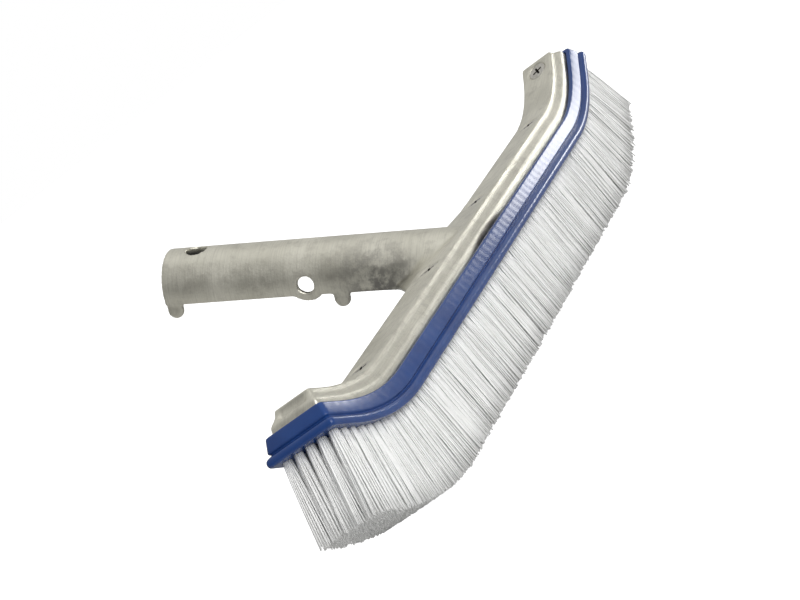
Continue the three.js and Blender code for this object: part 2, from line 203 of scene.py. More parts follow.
def bar(name, layers, corner, step, ripple=None):
    """A bar along the bent line. layers are (h, half width, half length) from the foot up."""
    turn = np.linspace(0, math.pi / 2, 7)[:-1]
    longest = max(length for _, _, length in layers)
    rings = []
    for h, width, length in layers:
        straight = np.linspace(-1, 1, int(2 * longest / step)) * (length - corner)
        arc_s = length - corner + corner * np.cos(turn)
        arc_w = width - corner + corner * np.sin(turn)
        s = np.concatenate([-arc_s, straight, arc_s[::-1]])
        w = np.concatenate([arc_w, np.full(len(straight), width), arc_w[::-1]])
        if ripple is not None:
            w = w + ripple(s, h)
        rings.append(np.concatenate([bent(s, -w, h), bent(s, w, h)[::-1]]))
    return loft(name, rings, strips(len(rings[0])))


def settle(obj):
    """Turns an object's modifiers into its mesh."""
    graph = bpy.context.evaluated_depsgraph_get()
    mesh = bpy.data.meshes.new_from_object(obj.evaluated_get(graph))
    obj.modifiers.clear()
    old = obj.data
    obj.data = mesh
    bpy.data.meshes.remove(old)


def combine(base, others, operation):
    """Joins closed meshes to base, or cuts them out of it, and removes them."""
    for other in others:
        modifier = base.modifiers.new("combine", "BOOLEAN")
        modifier.operation = operation
        modifier.solver = "MANIFOLD"
        modifier.object = other
        settle(base)
        bpy.data.objects.remove(other)
    return base


def join_meshes(name, objects):
    """One object from several that don't touch each other."""
    whole = bmesh.new()
    for obj in objects:
        whole.from_mesh(obj.data)
        bpy.data.objects.remove(obj)
    mesh = bpy.data.meshes.new(name)
    whole.to_mesh(mesh)
    whole.free()
    joined = bpy.data.objects.new(name, mesh)
    bpy.context.scene.collection.objects.link(joined)
    return joined


def turned(name, outline, sides=48):
    """A solid of revolution around Z, from an outline of (radius, z) that runs upwards."""
    angle = np.linspace(0, 2 * math.pi, sides, endpoint=False)
    rings = [
        np.stack([r * np.cos(angle), r * np.sin(angle), np.full(sides, z)], axis=-1)
        for r, z in outline
    ]
    return loft(name, rings)


def move(obj, matrix):
    """Applies a matrix, in millimetres, to the mesh itself."""
    scaled = matrix.copy()
    scaled.translation = matrix.translation * MM
    obj.data.transform(scaled)
    return obj


def smooth(obj, angle=None):
    """Shades an object smoothly, apart from edges sharper than an angle in degrees."""
    for polygon in obj.data.polygons:
        polygon.use_smooth = True
    if angle is not None:
        obj.data.set_sharp_from_angle(angle=math.radians(angle))


def place(obj, material, slot, *nodes):
    """Puts a finished piece in the frame, in place of the CAD nodes that it shows."""
    obj.data.materials.clear()
    obj.data.materials.append(material)
    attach(obj, "root")
    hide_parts(*nodes)


# ------------------------------------------------------------------ material helpers


class Nodes:
    """A material's node tree, with short calls for what the materials here share."""

    def __init__(self, name, **values):
        self.material = bpy.data.materials.new(name)
        self.material.use_nodes = True
        self.tree = self.material.node_tree
        self.shader = self.tree.nodes["Principled BSDF"]
        for socket, value in values.items():
            self.shader.inputs[socket.replace("_", " ")].default_value = value
        self.coords = self.tree.nodes.new("ShaderNodeTexCoord").outputs["Object"]

    def link(self, output, target):
        self.tree.links.new(output, target)

    def paint(self, output, socket):
        """Drives one of the shader's sockets."""
        self.link(output, self.shader.inputs[socket])

    def mapped(self, scale=(1, 1, 1), turn=(0, 0, 0), origin=(0, 0, 0)):
        """Object coordinates seen from a frame that is moved, turned and stretched."""
        node = self.tree.nodes.new("ShaderNodeMapping")
        node.vector_type = "TEXTURE"
        node.inputs["Location"].default_value = origin
        node.inputs["Rotation"].default_value = turn
        node.inputs["Scale"].default_value = scale
        self.link(self.coords, node.inputs["Vector"])
        return node.outputs["Vector"]

    def stretched(self, vector, scale):
        node = self.tree.nodes.new("ShaderNodeMapping")
        node.inputs["Scale"].default_value = scale
        self.link(vector, node.inputs["Vector"])
        return node.outputs["Vector"]

    def near(self, point, inner, outer, squash=1.0):
        """1 within inner mm of a point, falling to 0 at outer, with X counted as squashed."""
        x, y, z = Vector(point) * MM
        node = self.tree.nodes.new("ShaderNodeVectorMath")
        node.operation = "DISTANCE"
        node.inputs[1].default_value = (x * squash, y, z)
        self.link(self.stretched(self.coords, (squash, 1, 1)), node.inputs[0])
        return self.range(node.outputs["Value"], 1.0, 0.0, (inner * MM, outer * MM))

    def times(self, a, b):
        node = self.tree.nodes.new("ShaderNodeMath")
        node.operation = "MULTIPLY"
        self.link(a, node.inputs[0])
        self.link(b, node.inputs[1])
        return node.outputs["Value"]

    def inside_bore(self, along_tube):
        """1 on the handle's inner wall, from coordinates in the handle's own frame."""
        across = self.tree.nodes.new("ShaderNodeVectorMath")
        across.operation = "LENGTH"
        self.link(self.stretched(along_tube, (1, 1, 0)), across.inputs[0])
        in_wall = ((BORE_RADIUS + 0.3) * MM, (BORE_RADIUS + 1.5) * MM)
        inside = self.range(across.outputs["Value"], 1.0, 0.0, in_wall)
        axis = self.tree.nodes.new("ShaderNodeSeparateXYZ")
        self.link(along_tube, axis.inputs[0])
        past_floor = ((FLOOR_END - 2.0) * MM, (FLOOR_END - 0.5) * MM)
        return self.times(inside, self.range(axis.outputs["Z"], 0.0, 1.0, past_floor))

    def noise(self, vector, scale, detail=3.0, roughness=0.5):
        node = self.tree.nodes.new("ShaderNodeTexNoise")
        node.inputs["Scale"].default_value = scale
        node.inputs["Detail"].default_value = detail
        node.inputs["Roughness"].default_value = roughness
        self.link(vector, node.inputs["Vector"])
        return node.outputs["Fac"]

    def ramp(self, factor, low, high):
        """A colour from low to high over the middle of a noise's values."""
        node = self.tree.nodes.new("ShaderNodeValToRGB")
        for element, at, color in zip(node.color_ramp.elements, (0.35, 0.65), (low, high)):
            element.position = at
            element.color = (*color, 1.0)
        self.link(factor, node.inputs["Fac"])
        return node.outputs["Color"]

    def range(self, factor, low, high, stops=(0.3, 0.7)):
        """A number from low to high while the factor goes from one stop to the other."""
        node = self.tree.nodes.new("ShaderNodeMapRange")
        node.inputs["From Min"].default_value = stops[0]
        node.inputs["From Max"].default_value = stops[1]
        node.inputs["To Min"].default_value = low
        node.inputs["To Max"].default_value = high
        self.link(factor, node.inputs["Value"])
        return node.outputs["Result"]

    def mix(self, factor, under, color):
        """What is under, with another colour laid over it as far as the factor goes."""
        node = self.tree.nodes.new("ShaderNodeMix")
        node.data_type = "RGBA"
        self.link(factor, node.inputs["Factor"])
        below, above = (socket for socket in node.inputs if socket.type == "RGBA")
        self.link(under, below)
        above.default_value = (*color, 1.0)
        return next(socket for socket in node.outputs if socket.type == "RGBA")

    def bump(self, height, distance, strength, under=None):
        """A normal for relief that is at most distance mm high."""
        node = self.tree.nodes.new("ShaderNodeBump")
        node.inputs["Strength"].default_value = strength
        node.inputs["Distance"].default_value = distance * MM
        self.link(height, node.inputs["Height"])
        if under is not None:
            self.link(under, node.inputs["Normal"])
        return node.outputs["Normal"]


CLEAN_METAL = ((0.70, 0.68, 0.58), (0.82, 0.80, 0.70))
STROKE_METAL = (0.52, 0.50, 0.43)
STAINED_METAL = (0.47, 0.45, 0.39)
# painted shade for the creases where the tube meets the side webs
VALLEY_PAINTED_SHADE = (0.26, 0.25, 0.23)
# painted shade for the trimmed gate's shallow recess
GATE_PAINTED_SHADE = (0.34, 0.31, 0.26)
# painted shade for the inside of the bore
BORE_PAINTED_SHADE = (0.09, 0.085, 0.075)
NECK_VALLEY = (16.0, -36.0, 55.5)  # between the tube and the web on the +X side


def metal_tone(m, strokes, stains, cloud, along_tube):
    """Bright metal with strokes and stains, and painted shade in the neck's creases, over the gate's
    recess and inside the bore.
    """
    tone = m.ramp(cloud, *CLEAN_METAL)
    tone = m.mix(m.range(strokes, 0.0, 0.5, (0.45, 0.75)), tone, STROKE_METAL)
    tone = m.mix(m.range(stains, 0.0, 0.6, (0.5, 0.75)), tone, STAINED_METAL)
    # Painted shade in the creases between the tube and the webs, on both sides, broken into patches by
    # the stain noise.
    x, y, z = NECK_VALLEY
    for side in (1, -1):
        valley = m.near((side * x, y, z), 4.0, 26.0)
        patches = m.range(stains, 0.15, 1.0, (0.38, 0.55))
        tone = m.mix(m.times(valley, patches), tone, VALLEY_PAINTED_SHADE)
    # Painted shade over the trimmed gate's recess, broken up by the stain noise.
    gate = m.near(GATE_MIDDLE, 1.4, 2.3, 0.09)
    tone = m.mix(m.times(gate, m.range(stains, 0.4, 1.0, (0.3, 0.5))), tone, GATE_PAINTED_SHADE)
    # Painted shade: the bore's inner wall, past the tube's floor, is made near black.
    return m.mix(m.inside_bore(along_tube), tone, BORE_PAINTED_SHADE)


def cast_aluminium():
    """A linished tube with marks across it, and an as-cast back."""
    m = Nodes("cast_aluminium", Metallic=1.0)
    grain = m.noise(m.coords, 900.0, 4.0, 0.6)
    cloud = m.noise(m.coords, 45.0, 4.0, 0.6)
    stains = m.noise(m.coords, 160.0, 5.0, 0.7)
    along_tube = m.mapped(turn=HANDLE.to_euler()[:], origin=HANDLE.translation * MM)
    strokes = m.noise(m.stretched(along_tube, (0.12, 0.12, 3.0)), 500.0, 4.0, 0.7)
    m.paint(metal_tone(m, strokes, stains, cloud, along_tube), "Base Color")
    m.paint(m.range(cloud, 0.34, 0.52), "Roughness")
    relief = m.bump(grain, 0.15, 0.6)
    relief = m.bump(strokes, 0.1, 0.5, relief)
    m.paint(m.bump(stains, 0.3, 0.4, relief), "Normal")
    return m.material


def blue_plastic():
    """Glossy moulded plastic, slightly uneven."""
    m = Nodes("blue_plastic", Roughness=0.2, IOR=1.5)
    cloud = m.noise(m.coords, 60.0, 3.0)
    specks = m.noise(m.coords, 1500.0, 2.0)
    sinks = m.noise(m.coords, 240.0, 2.0)
    m.paint(m.ramp(cloud, (0.010, 0.042, 0.180), (0.014, 0.056, 0.220)), "Base Color")
    m.paint(m.range(specks, 0.16, 0.26), "Roughness")
    m.paint(m.bump(specks, 0.02, 0.25, m.bump(sinks, 0.06, 0.35)), "Normal")
    return m.material


def screw_steel():
    m = Nodes("screw_steel", Metallic=1.0)
    cloud = m.noise(m.coords, 700.0, 4.0, 0.6)
    m.paint(m.ramp(cloud, (0.52, 0.50, 0.45), (0.70, 0.68, 0.62)), "Base Color")
    m.paint(m.range(cloud, 0.28, 0.45), "Roughness")
    m.paint(m.bump(cloud, 0.04, 0.4), "Normal")
    return m.material


def recess_painted_shade():
    """Painted shade, near black, in the screws' cross recesses."""
    m = Nodes("recess_painted_shade", Roughness=0.8)
    cloud = m.noise(m.coords, 900.0)
    m.paint(m.ramp(cloud, (0.012, 0.010, 0.008), (0.05, 0.042, 0.034)), "Base Color")
    return m.material


def nylon():
    """White filaments that vary a little from one to the next."""
    m = Nodes("nylon", Roughness=0.45, IOR=1.53)
    strands = m.noise(m.mapped((1.0, 1.0, 12.0)), 900.0, 2.0)
    m.paint(m.ramp(strands, (0.90, 0.90, 0.89), (0.97, 0.97, 0.96)), "Base Color")
    m.paint(m.range(strands, 0.38, 0.55), "Roughness")
    return m.material


# ------------------------------------------------------------------ moulded block

BLOCK_CORNER = 1.8
BEAD_MIDDLE = 1.7  # height of the bead's widest line
SINK_DEPTH = 0.055
SINK_FOOT = 5.4  # the marks fade in above this height
SINK_TOP = 10.6  # and out below this one
BLOCK_OUTLINE = soften(
    [
        # height, inset from the bead's widest line, corner size
        (0.0, 1.6, 0.0),
        (0.05, 0.35, 0.9),
        (BEAD_MIDDLE, -0.1, 1.0),
        (3.3, 0.35, 0.9),
        (4.3, 2.5, 0.5),
        (5.3, 1.5, 0.4),
        (10.9, 2.8, 0.7),
        (LIP_HEIGHT, 3.6, 0.5),
        (LIP_HEIGHT, 4.6, 0.3),
        (SEAT_HEIGHT, 4.6, 0.0),
    ]
)


def sink_marks(s, h):
    """Shallow waves that the tuft holes leave in the tall face and the bead of the block."""
    face = np.clip(h - SINK_FOOT, 0, 1) * np.clip(SINK_TOP - h, 0, 1)
    bead = 0.5 * np.clip(1 - abs(h - BEAD_MIDDLE) / 1.6, 0, 1)
    wave = np.cos(2 * math.pi * s / TUFT_PITCH + math.pi)
    return SINK_DEPTH * wave * (face + bead)


def tuft_hole(s, y):
    """A blind hole with a small countersink."""
    mouth = TUFT_HOLE_RADIUS + 0.25
    outline = [(mouth, -0.5), (mouth, 0.0), (TUFT_HOLE_RADIUS, 0.3), (TUFT_HOLE_RADIUS, TUFT_HOLE_DEPTH)]
    return move(turned("tuft_hole", outline, 14), bent_frame(s) @ Matrix.Translation((0, y, 0)))


def pilot_hole(s):
    radius = SCREW_SHANK_RADIUS + FIT_GAP
    foot = BACK_TOP - SCREW_SINK - SCREW_LENGTH - 2 * FIT_GAP
    return move(turned("pilot_hole", [(radius, foot), (radius, LIP_HEIGHT)], 20), bent_frame(s))


def moulded_block(material):
    layers = [(h, BEAD_HALF_WIDTH - inset, BEAD_HALF_LENGTH - inset) for h, inset in BLOCK_OUTLINE]
    block = bar("moulded_block", layers, BLOCK_CORNER, TUFT_PITCH / 6, sink_marks)
    tuft_holes = [tuft_hole(s, y) for s, y in tuft_places()]
    pilot_holes = [pilot_hole(s) for s in SCREW_STATIONS]
    combine(block, [join_meshes("tuft_holes", tuft_holes)], "DIFFERENCE")
    combine(block, [join_meshes("pilot_holes", pilot_holes)], "DIFFERENCE")
    smooth(block, 35)
    place(block, material, "blue_plastic", "brush_block")


# ------------------------------------------------------------------ cast back

BACK_CORNER = 1.5
HOLLOW_DRAFT = 0.4
BOSS_RADIUS = 5.0
BOSS_DRAFT = 0.4
PANEL_DEPTH = 0.8  # of the panel sunk in each end face
PANEL_BORDER = 2.2
FACE_MIDDLE = BACK_TOP_HALF_LENGTH + 1.2  # from the middle of the back to that of an end face

# height, half width and half length beyond the top face's, corner size
BACK_OUTLINE = [
    (BACK_BASE, 2.9, 4.2, 0.0),
    (RIM_HEIGHT, 2.75, 3.9, 0.9),
    (SHOULDER_HEIGHT, 0.75, 1.2, 0.7),
    (SHOULDER_HEIGHT + 0.7, 0.45, 0.7, 0.5),
    (BACK_TOP, 0.0, 0.0, 0.45),
    (BACK_TOP, -1.2, -1.2, 0.0),
]


def back_bar():
    across = soften([(h, wide, size) for h, wide, _, size in BACK_OUTLINE])
    along = soften([(h, long, size) for h, _, long, size in BACK_OUTLINE])
    layers = [
        (h, BACK_TOP_HALF_WIDTH + wide, BACK_TOP_HALF_LENGTH + long)
        for (h, wide), (_, long) in zip(across, along)
    ]
    return bar("back", layers, BACK_CORNER, 2.0)


def back_hollow():
    """The channel under the back, open at its foot."""
    width = RIM_HALF_WIDTH - WALL
    length = RIM_HALF_LENGTH - WALL
    layers = [
        (BACK_BASE - 1, width, length),
        (RIM_HEIGHT, width - HOLLOW_DRAFT, length - HOLLOW_DRAFT),
        (BACK_TOP - WALL, BACK_TOP_HALF_WIDTH - WALL, BACK_TOP_HALF_LENGTH - WALL),
    ]
    return bar("hollow", layers, BACK_CORNER, 4.0)


def screw_boss(s):
    outline = [(BOSS_RADIUS, BACK_BASE), (BOSS_RADIUS + BOSS_DRAFT, BACK_TOP - WALL / 2)]
    return move(turned("boss", outline), bent_frame(s))


def screw_hole(s):
    """A through hole with a countersink and a shallow round recess over the head."""
    head_top = BACK_TOP - SCREW_SINK
    clearance = SCREW_SHANK_RADIUS + FIT_GAP
    outline = [
        (clearance, BACK_BASE - 1),
        (clearance, head_top - SCREW_HEAD_HEIGHT - FIT_GAP),
        (SCREW_HEAD_RADIUS + FIT_GAP, head_top),
        (RECESS_RADIUS, head_top + SEAM / 2),
        (RECESS_RADIUS + 0.1, BACK_TOP + 1),
    ]
    return move(turned("screw_hole", outline), bent_frame(s))


def end_panel(side):
    """A shallow panel sunk in an end face of the back."""
    half_height = (BACK_TOP - RIM_HEIGHT) / 2 - PANEL_DEPTH
    half_width = BACK_TOP_HALF_WIDTH - PANEL_BORDER
    ends = [(z, PANEL_DEPTH, half_width) for z in (-half_height, half_height)]
    lean = math.atan2(RIM_HALF_LENGTH - BACK_TOP_HALF_LENGTH, BACK_TOP - BACK_BASE)
    middle = bent_frame(side * FACE_MIDDLE, (RIM_HEIGHT + BACK_TOP) / 2)
    return move(wedge("panel", *ends), middle @ Matrix.Rotation(-side * lean, 4, "Y"))


# ------------------------------------------------------------------ handle and neck

HANDLE = Matrix.Translation((0, HANDLE_FOOT_Y, UNDERSIDE)) @ Matrix.Rotation(HANDLE_LEAN, 4, "X")
ARC_STEPS = 60


def tube_section(trim, along):
    """A closed section of the open tube, square to its axis, with trim taken off its walls."""
    angle = np.linspace(CUT_ANGLE, math.pi - CUT_ANGLE, ARC_STEPS + 1)
    circle = np.column_stack([np.cos(angle), np.sin(angle)])
    outside = (HANDLE_RADIUS - trim) * circle
    inside = (BORE_RADIUS + trim) * circle[::-1]
    flat = np.concatenate([outside, inside])
    return np.column_stack([flat, np.full(len(flat), along)])


def tube_shell():
    """The open tube, with rounded edges at its mouth."""
    rings = [tube_section(0, along) for along in np.linspace(FLOOR_END - 1, MOUTH - MOUTH_ROUND, 30)]
    rings.append(tube_section(0.15, MOUTH - 0.1))
    rings.append(tube_section(MOUTH_ROUND, MOUTH))
    return move(loft("tube", rings, strips(len(rings[0]))), HANDLE)


ROOT_ANGLE = CUT_ANGLE + math.radians(4)  # ears and bosses start here, inside the tube's wall


def ear(middle, side):
    """A flat tongue with a round tip, straight down from the tube's lower edge."""
    root = HANDLE_RADIUS * math.sin(ROOT_ANGLE)
    tip_centre = HANDLE_RADIUS * math.sin(CUT_ANGLE) - EAR_DEPTH + EAR_HALF_WIDTH
    outer = HANDLE_RADIUS * math.cos(CUT_ANGLE) - SEAM
    turn = np.linspace(0, math.pi, 17)
    down = np.concatenate([[root], tip_centre - EAR_HALF_WIDTH * np.sin(turn), [root]])
    along = np.concatenate([[EAR_HALF_WIDTH], EAR_HALF_WIDTH * np.cos(turn), [-EAR_HALF_WIDTH]])
    sheets = [
        np.column_stack([np.full(len(down), side * x), down, middle + along])
        for x in (outer, outer - EAR_THICKNESS)
    ]
    return move(loft("ear", sheets if side < 0 else sheets[::-1]), HANDLE)


def clip_boss(side):
    """The round swelling under the clip hole: the tube's wall, carried on below its lower edge."""
    low = math.asin(-CLIP_BOSS_RADIUS / HANDLE_RADIUS)
    inner, outer = BORE_RADIUS + SEAM, HANDLE_RADIUS - SEAM
    rings = []
    for t in np.linspace(0, 1.5, 12):
        angle = ROOT_ANGLE + (low - ROOT_ANGLE) * math.sin(t)
        reach = math.sqrt(CLIP_BOSS_RADIUS**2 - (HANDLE_RADIUS * math.sin(angle)) ** 2)
        corners = ((inner, -reach), (outer, -reach), (outer, reach), (inner, reach))
        ring = [
            (side * radius * math.cos(angle), radius * math.sin(angle), CLIP_HOLE[1] + along)
            for radius, along in corners
        ]
        rings.append(ring if side > 0 else ring[::-1])
    return move(loft("clip_boss", rings), HANDLE)


def bore():
    radius = BORE_RADIUS + SEAM
    return move(turned("bore", [(radius, FLOOR_END), (radius, MOUTH)], 96), HANDLE)


def cross_drill(hole, low, high, turn):
    """A cylinder from low to high through the handle's axis, turned towards its direction."""
    radius, along = hole
    cylinder = turned("drill", [(radius, low), (radius, high)], 40)
    return move(cylinder, HANDLE @ Matrix.Translation((0, 0, along)) @ turn)


def top_hole():
    return cross_drill(TOP_HOLE, 0, HANDLE_RADIUS + 5, Matrix.Rotation(-math.pi / 2, 4, "X"))


def clip_hole():
    return cross_drill(CLIP_HOLE, -20, 20, Matrix.Rotation(math.pi / 2, 4, "Y"))


# The neck, as upright sections square to Y: the tube's curve down to the angle flank, then a
# cove out to the foot of the side web, and the web's outer edge. Heights are above the block's
# underside. Columns: y, flank, foot x, foot height, edge x, edge height.
NECK = np.array([
    (5.5, 80, 8.0, 18.6, 50.0, 18.2),
    (0.0, 68, 9.6, 19.6, 50.0, 18.6),
    (-2.8, 62, 13.5, 19.75, 50.0, 18.8),
    (-5.2, 58, 22.0, 19.9, 50.0, 19.2),
    (-8.8, 52, 28.0, 19.7, 50.0, 19.2),
    (-10.6, 48, 28.0, 19.4, 49.5, 18.9),
    (-15.0, 38, 23.5, 18.9, 41.2, 18.5),
    (-20.0, 29, 19.5, 18.5, 31.9, 18.1),
    (-25.0, 23, 16.7, 18.2, 22.6, 17.8),
    (-29.5, 19, 15.1, 18.0, 15.1, 17.7),
])
PLAIN_FROM = -39.0
NECK_END = -53.0
NECK_UNDERSIDE = 11.5
UNDERSIDE_HALF_WIDTH = 13.5
WEB_THICKNESS = 2.2
WEB_DRAFT = 0.4
COVE_BEND = 0.35  # where the cove turns, as a part of its width from the tube


def tube_point(y, angle):
    """A point (x, height) on the tube's surface, where it is cut square to Y."""
    axis_height = (HANDLE_FOOT_Y - y) / math.tan(HANDLE_LEAN)
    radius = HANDLE_RADIUS - SEAM / 2
    rise = radius * math.sin(angle) / math.sin(HANDLE_LEAN)
    return np.array([radius * math.cos(angle), axis_height + rise])


def section_points(y, points):
    """A closed neck section from its right-hand side, top first."""
    corner = [UNDERSIDE_HALF_WIDTH, max(tube_point(y, CUT_ANGLE)[1], NECK_UNDERSIDE)]
    half = np.array([*points, corner])
    half = np.column_stack([half[:, 0], np.full(len(half), y), half[:, 1] + UNDERSIDE])
    return np.concatenate([half[::-1], half[1:] * (-1, 1, 1)])


def webbed_section(y, flank, foot_x, foot_h, edge_x, edge_h):
    """The neck where side webs join it to the back."""
    arc = [tube_point(y, angle) for angle in np.linspace(math.pi / 2, math.radians(flank), 24)]
    start = arc[-1]
    foot = np.array([foot_x, foot_h])
    bend = np.array([start[0] + COVE_BEND * (foot_x - start[0]), foot_h])
    cove = [curve(start, bend, foot, t) for t in np.linspace(0, 1, 17)[1:]]
    web_edge = [(edge_x, edge_h), (edge_x - WEB_DRAFT, edge_h - WEB_THICKNESS)]
    return section_points(y, [*arc, *cove, *web_edge])


def plain_section(y):
    """The neck nearer the mouth, where it is only the filled tube."""
    return section_points(y, [tube_point(y, a) for a in np.linspace(math.pi / 2, CUT_ANGLE, 42)])


def neck():
    """The solid foot of the handle, from the back to where the tube's floor ends."""
    stations = np.linspace(NECK[0, 0], NECK[-1, 0], 44)
    columns = [np.interp(-stations, -NECK[:, 0], NECK[:, k]) for k in range(1, 6)]
    rings = [webbed_section(y, *values) for y, *values in zip(stations, *columns)]
    first_plain = plain_section(PLAIN_FROM)
    last_webbed = rings[-1]
    for t in np.linspace(0, 1, 9)[1:-1]:
        rings.append(last_webbed * (1 - t) + first_plain * t)
    rings.append(first_plain)
    rings.append(plain_section(NECK_END))
    return loft("neck", rings)


# The trimmed gate: a long shallow lens on the near side of the rim, deeper at its lower edge.
GATE_MIDDLE = Vector((-3.0, RIM_HALF_WIDTH, UNDERSIDE + 11.5))
GATE_HALF_LENGTH = 25.0
GATE_DEPTH = 0.6
GATE_TILT = math.radians(-12)
EDGE_GRAIN = 0.7  # the size of the cast edges' softening


def gate_scar():
    radius = (GATE_HALF_LENGTH**2 + GATE_DEPTH**2) / (2 * GATE_DEPTH)
    drum = turned("gate", [(radius, -5), (radius, 5)], 900)
    cut = Matrix.Translation(GATE_MIDDLE) @ Matrix.Rotation(GATE_TILT, 4, "X")
    return move(drum, cut @ Matrix.Translation((0, radius - GATE_DEPTH, 0)))


def cast_back_and_handle(material):
    """The whole casting, which is one piece."""
    casting = combine(back_bar(), [neck()], "UNION")
    combine(casting, [bore()], "DIFFERENCE")
    additions = [tube_shell()]
    for side in (1, -1):
        additions += [clip_boss(side), *(ear(middle, side) for middle in EARS)]
    combine(casting, additions, "UNION")
    combine(casting, [back_hollow()], "DIFFERENCE")
    combine(casting, [screw_boss(s) for s in SCREW_STATIONS], "UNION")
    cuts = [screw_hole(s) for s in SCREW_STATIONS]
    cuts += [end_panel(1), end_panel(-1), top_hole(), clip_hole(), gate_scar()]
    combine(casting, cuts, "DIFFERENCE")
    soften_casting(casting)
    smooth(casting)
    casting.name = "cast_back_and_handle"
    place(casting, material, "cast_aluminium", "handle_casting")


def soften_casting(casting):
    """Gives the casting the small round edges and fillets that a mould leaves."""
    remesh = casting.modifiers.new("remesh", "REMESH")
    remesh.mode = "VOXEL"
    remesh.voxel_size = EDGE_GRAIN * MM
    settle(casting)
    relax = casting.modifiers.new("relax", "SMOOTH")
    relax.factor = 0.5
    relax.iterations = 3
    settle(casting)


# ------------------------------------------------------------------ screws

HEAD_EDGE = 0.3  # height of the head's rounded rim
CORE_RADIUS = SCREW_SHANK_RADIUS - 0.4  # of the shank between the threads
POINT_LENGTH = 3.2
CROSS_TURN = 0.35
CROSS_ENDS = ((-2.6, 0.9, 0.35), (0.6, 3.0, 0.62))  # height, half length, half width
CROSS_MARGIN = 0.9  # between the recess and the head's cone, at least
THREAD_ROOT = SCREW_SHANK_RADIUS - 0.6  # a little inside the core
THREAD_START = 2.2  # above the point
THREAD_LOW = 0.25  # the ridge's height over its root at its ends
THREAD_RISE = 0.35  # and how much higher it is between them
THREAD_TURNS = 6.5
THREAD_PITCH = 1.6
THREAD_STEPS = 20  # in a turn
THREAD_HALF_WIDTH = 0.45
THREAD_FADE = 0.8  # turns over which the ridge rises at each end


def shade_recess_faces(screw):
    """Gives the second material, painted shade, to the cross recess: well inside the head's cone, below
    its top.
    """
    for face in screw.data.polygons:
        x, y, z = (face.center / MM)[:]
        share = 1 + (z + HEAD_EDGE) / (SCREW_HEAD_HEIGHT - HEAD_EDGE)
        cone = SCREW_SHANK_RADIUS + share * (SCREW_HEAD_RADIUS - SCREW_SHANK_RADIUS)
        deep = -SCREW_HEAD_HEIGHT < z < -0.1
        face.material_index = int(deep and math.hypot(x, y) < cone - CROSS_MARGIN)


def screw_body(name):
    """The point, the core and the countersunk head, with the head's top at height 0."""
    outline = soften(
        [
            (0.3, -SCREW_LENGTH, 0.0),
            (CORE_RADIUS, -SCREW_LENGTH + POINT_LENGTH, 0.6),
            (CORE_RADIUS, -SCREW_HEAD_HEIGHT, 0.3),
            (SCREW_HEAD_RADIUS, -HEAD_EDGE, 0.15),
            (SCREW_HEAD_RADIUS - 0.12, 0.0, 0.1),
            (SCREW_HEAD_RADIUS - 1.5, 0.05, 0.0),
        ]
    )
    return turned(name, outline, 64)


def cross_recess():
    """Two tapered slots at right angles."""
    turns = (CROSS_TURN, CROSS_TURN + math.pi / 2)
    return [move(wedge("slot", *CROSS_ENDS), Matrix.Rotation(turn, 4, "Z")) for turn in turns]


def screw_thread():
    """A helical ridge along the shank, as a strip with a triangular section."""
    rings = []
    for t in np.linspace(0, THREAD_TURNS, int(THREAD_TURNS * THREAD_STEPS)):
        angle = 2 * math.pi * t
        fade = min(1.0, t / THREAD_FADE, (THREAD_TURNS - t) / THREAD_FADE)
        crest = THREAD_ROOT + THREAD_LOW + THREAD_RISE * fade
        z = -SCREW_LENGTH + THREAD_START + THREAD_PITCH * t
        section = [
            (THREAD_ROOT, z - THREAD_HALF_WIDTH),
            (crest, z),
            (THREAD_ROOT, z + THREAD_HALF_WIDTH),
        ]
        rings.append([(r * math.cos(angle), r * math.sin(angle), height) for r, height in section])
    return loft("thread", rings)


def countersunk_screw(name, station, node, material, recess_shade):
    screw = screw_body(name)
    combine(screw, cross_recess(), "DIFFERENCE")
    combine(screw, [screw_thread()], "UNION")
    smooth(screw, 40)
    place(screw, material, "screw_steel", node)
    # the second material paints shade into the cross recess
    screw.data.materials.append(recess_shade)
    shade_recess_faces(screw)
    move(screw, bent_frame(station, BACK_TOP - SCREW_SINK))


def screws(material, recess_shade):
    for number, station in enumerate(SCREW_STATIONS, 1):
        countersunk_screw(f"countersunk_screw_{number}", station, f"screw_{number}", material, recess_shade)


# ------------------------------------------------------------------ bristles

BRISTLE_LENGTH = UNDERSIDE
FILAMENTS = 68
FILAMENT_RADIUS = 0.29
FILAMENT_RINGS = 5
FILAMENT_CORNERS = 4
ROOT_DEPTH = 2.0  # of the filaments' upper ends in their hole
TIP_SPREAD = 3.8
SPREAD_SCATTER = (0.8, 1.12)
LENGTH_SCATTER = 0.7
TUFT_TRIM = (0.1, 0.6)  # how much shorter a whole tuft is
FILAMENT_LEAN = (0.22, 0.4)  # usual and largest shift of a tip
TUFT_LEAN = 0.25
FILAMENT_BOW = (0.12, 0.25)  # the same for the middle
GOLDEN_ANGLE = 2.39996  # from each filament of a tuft to the next, for even spacing


def tuft_places():
    """Every tuft's place along and across the head, row by row."""
    for row in range(ROW_COUNT):
        y = (row - (ROW_COUNT - 1) / 2) * ROW_PITCH
        for tuft in range(TUFT_COUNT):
            yield (tuft - (TUFT_COUNT - 1) / 2) * TUFT_PITCH, y


def scatter(draw, usual, largest):
    """A random sideways shift for each filament of a tuft."""
    return np.clip(draw.normal(0, usual, (FILAMENTS, 2)), -largest, largest)


